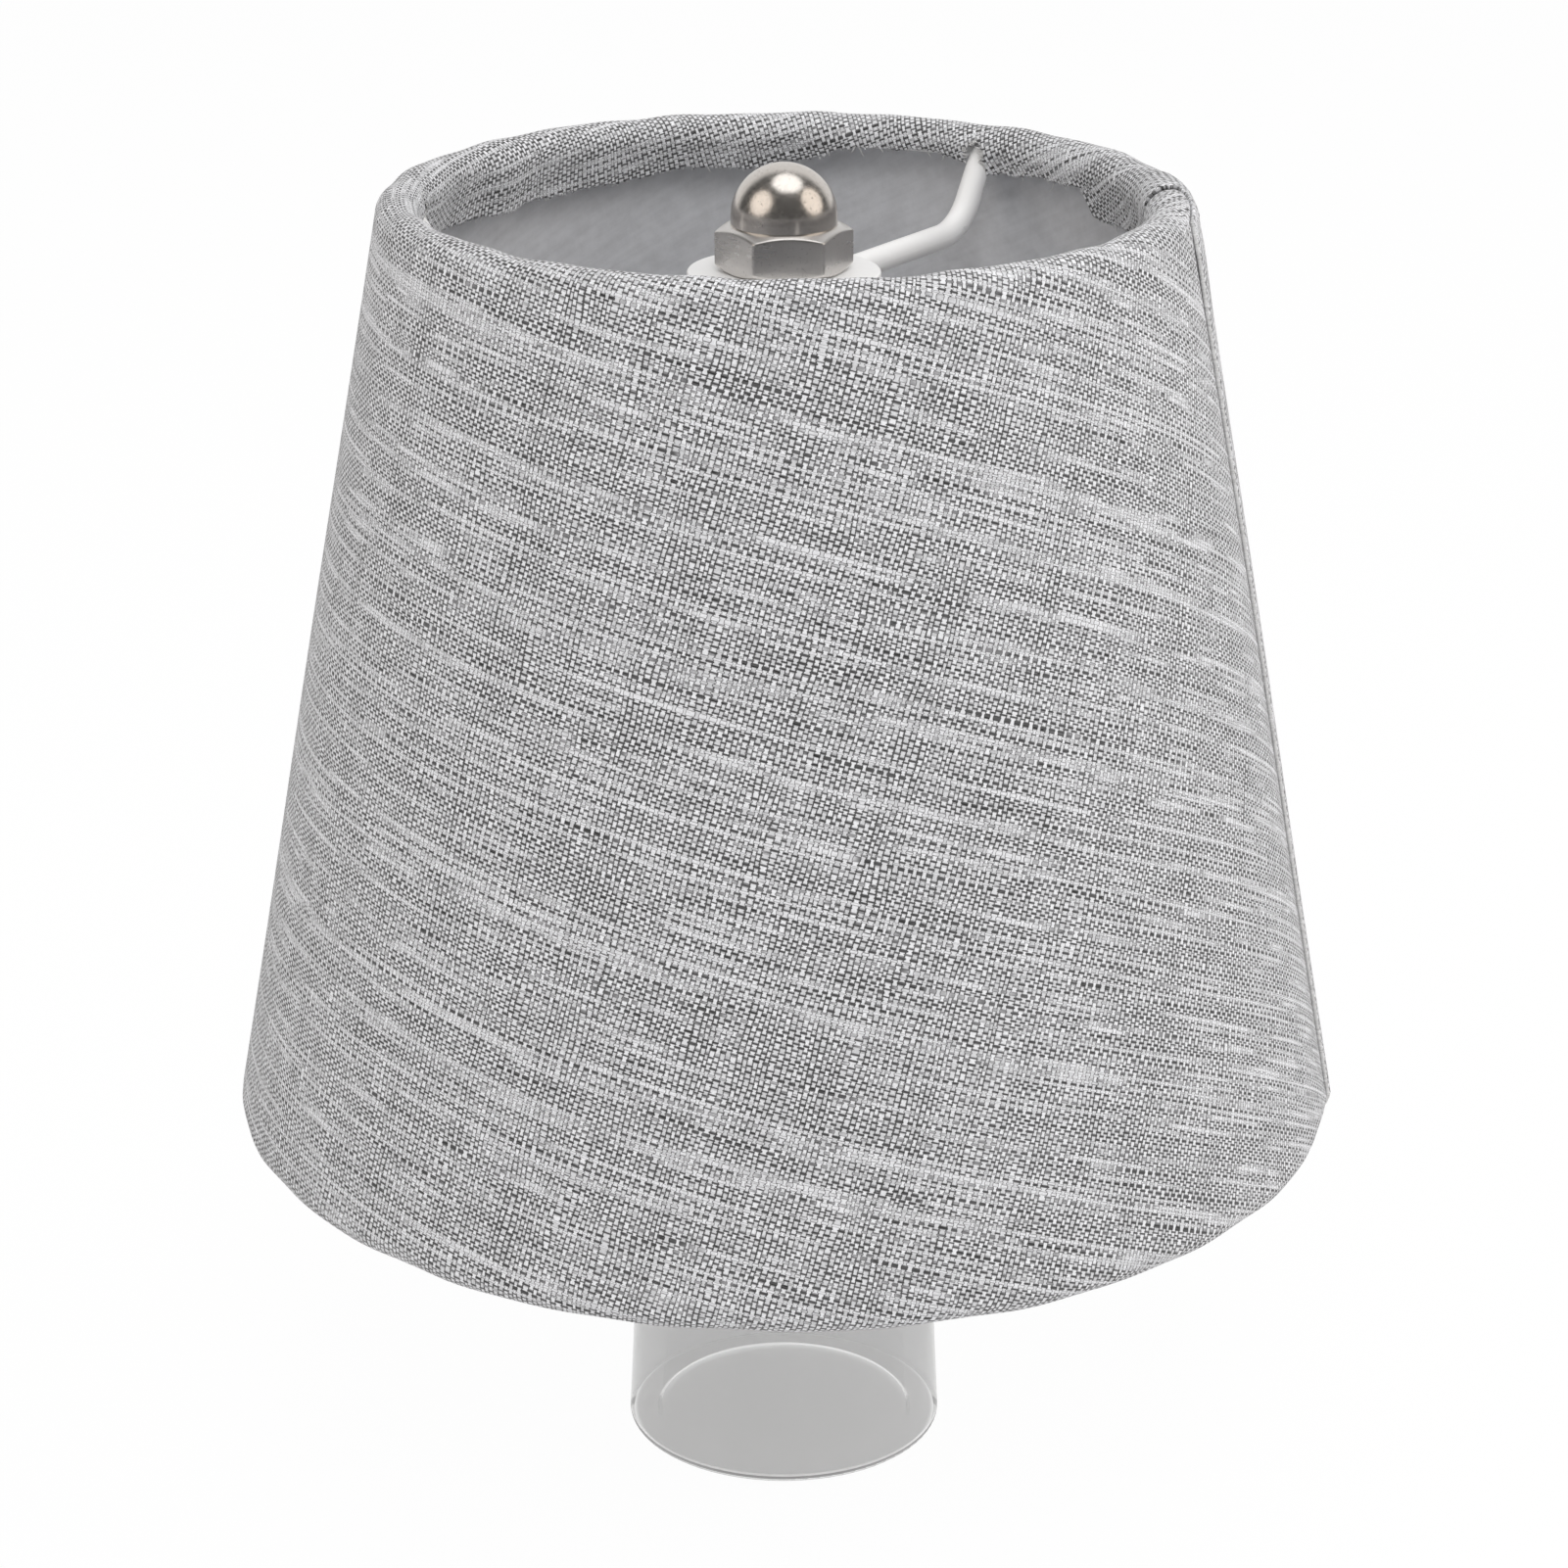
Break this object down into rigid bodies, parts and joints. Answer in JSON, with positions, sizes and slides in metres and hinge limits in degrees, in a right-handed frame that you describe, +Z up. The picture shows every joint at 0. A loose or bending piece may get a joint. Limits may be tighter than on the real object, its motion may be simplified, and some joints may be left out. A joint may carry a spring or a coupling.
{
  "type": "candle lamp with shade",
  "caption": "Small candle lamp: a tapered cloth shade on a wire spider, held by a domed cap nut on a clear tapered sleeve that stands on its mouth and holds a push-in light.",
  "frame": {"origin": "centre of the sleeve's mouth, on the surface that the lamp stands on", "axes": "+Z up along the lamp's axis; the picture looks along +Y, with +X to its right"},
  "size_m": [0.1386, 0.1386, 0.1672],
  "materials": {
    "heather_cloth": "plain weave of pale warp and mixed grey slub weft",
    "grey_lining": "matte bonded lining, faintly streaked",
    "white_coat": "thick gloss white coating on steel wire",
    "clear_acrylic": "clear moulded acrylic, polished",
    "zinc_steel": "zinc plated",
    "satin_nickel": "satin nickel plate",
    "polished_nickel": "polished nickel plate",
    "ivory_plastic": "satin moulded",
    "opal_plastic": "translucent opal",
    "silicone": "matte translucent silicone",
    "board_laminate": "green solder mask",
    "led_epoxy": "clear warm epoxy",
    "cell_steel": "stainless can",
    "contact_brass": "bright turned brass"
  },
  "bodies": {
    "stand": {"clear_sleeve": "clear_acrylic", "threaded_stud": "zinc_steel", "inner_nut": "zinc_steel", "inner_washer": "zinc_steel", "sleeve_washer": "zinc_steel", "lock_nut": "zinc_steel"},
    "shade": {"shade_cover": "heather_cloth", "shade_liner": "grey_lining", "top_ring": "white_coat", "bottom_ring": "white_coat", "spider_hub": "white_coat", "spider_arm_1": "white_coat", "spider_arm_2": "white_coat", "spider_arm_3": "white_coat"},
    "cap_nut": {"cap_nut_hex": "satin_nickel", "cap_nut_dome": "polished_nickel"},
    "candle": {"candle_housing": "ivory_plastic", "grip_ring": "silicone", "flame_lens": "opal_plastic", "circuit_board": "board_laminate", "led": "led_epoxy", "battery_contact": "contact_brass", "coin_cell_1": "cell_steel", "coin_cell_2": "cell_steel"},
    "candle_base": {"base_cap": "ivory_plastic", "base_oring": "silicone", "contact_spring": "zinc_steel"}
  },
  "joints": [
    {"name": "shade_turn", "type": "hinge", "parent": "stand", "child": "shade", "pos_m": [0, 0, 0.1536], "axis": [0, 0, 1], "continuous": true},
    {"name": "cap_nut_turn", "type": "hinge", "parent": "stand", "child": "cap_nut", "pos_m": [0, 0, 0.157], "axis": [0, 0, 1], "continuous": true},
    {"name": "candle_slide", "type": "slide", "parent": "stand", "child": "candle", "axis": [0, 0, -1], "range_m": [0, 0.125]},
    {"name": "base_twist", "type": "hinge", "parent": "candle", "child": "candle_base", "pos_m": [0, 0, 0.062], "axis": [0, 0, 1], "range_deg": [0, 60]}
  ]
}
